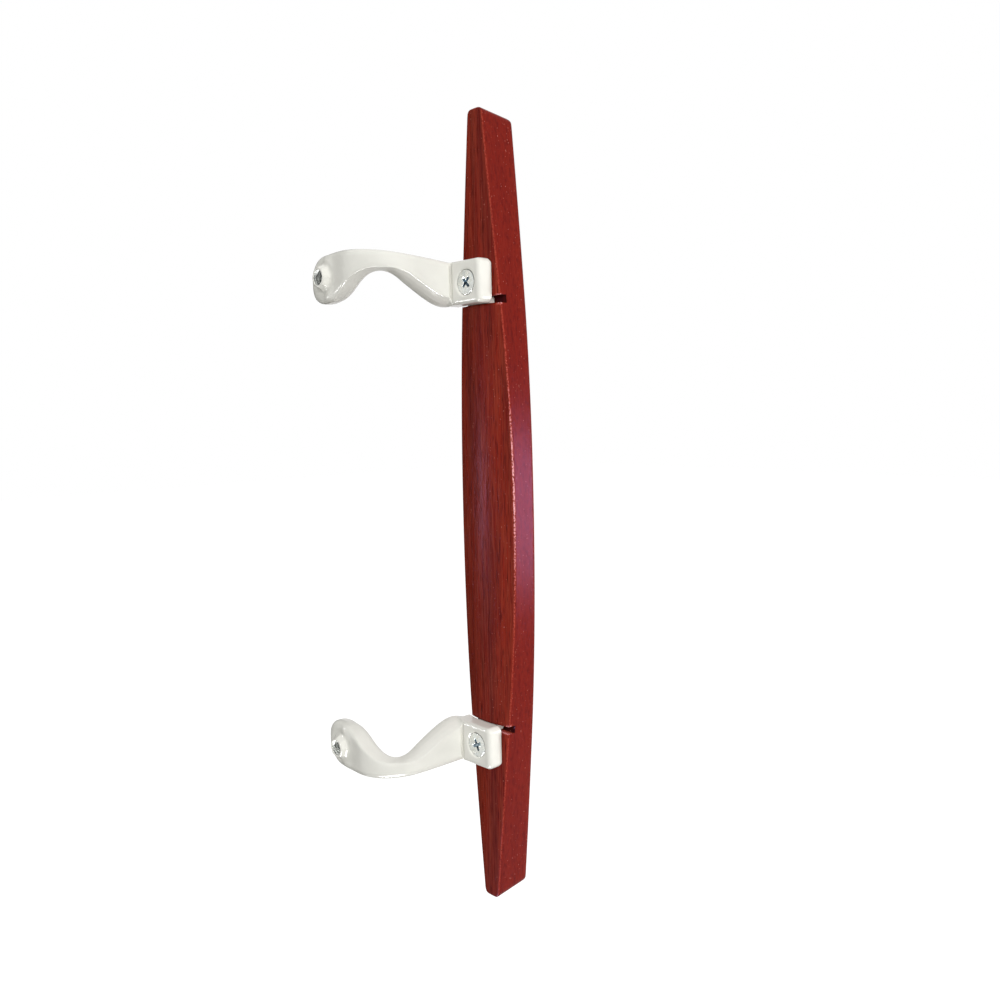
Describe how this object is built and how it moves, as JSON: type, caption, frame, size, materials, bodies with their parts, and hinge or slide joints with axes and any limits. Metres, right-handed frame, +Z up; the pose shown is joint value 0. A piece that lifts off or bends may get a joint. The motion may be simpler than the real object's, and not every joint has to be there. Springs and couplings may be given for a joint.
{
  "type": "door pull handle",
  "caption": "Lens-shaped wooden pull bar carried off a sliding door by mirrored bent cast brackets, which reach sideways to tapped bosses and sit in saw kerfs in the bar's back.",
  "frame": {"origin": "midway between the two tapped holes, on the door's face, which the bracket pads rest against", "axes": "+Z up along the bar, +Y into the door along the tapped holes, so the bar stands off the door towards -Y and lies to the -X side of the holes"},
  "size_m": [0.0653, 0.0499, 0.2748],
  "materials": {
    "stained_wood": "red-brown stain under satin lacquer, fine straight grain",
    "white_paint": "glossy warm white baked paint on a die casting",
    "zinc_plate": "bright zinc plate"
  },
  "bodies": {
    "root": {"wood_bar": "stained_wood", "upper_bracket": "white_paint", "lower_bracket": "white_paint", "upper_wood_screw": "zinc_plate", "lower_wood_screw": "zinc_plate"}
  },
  "joints": []
}
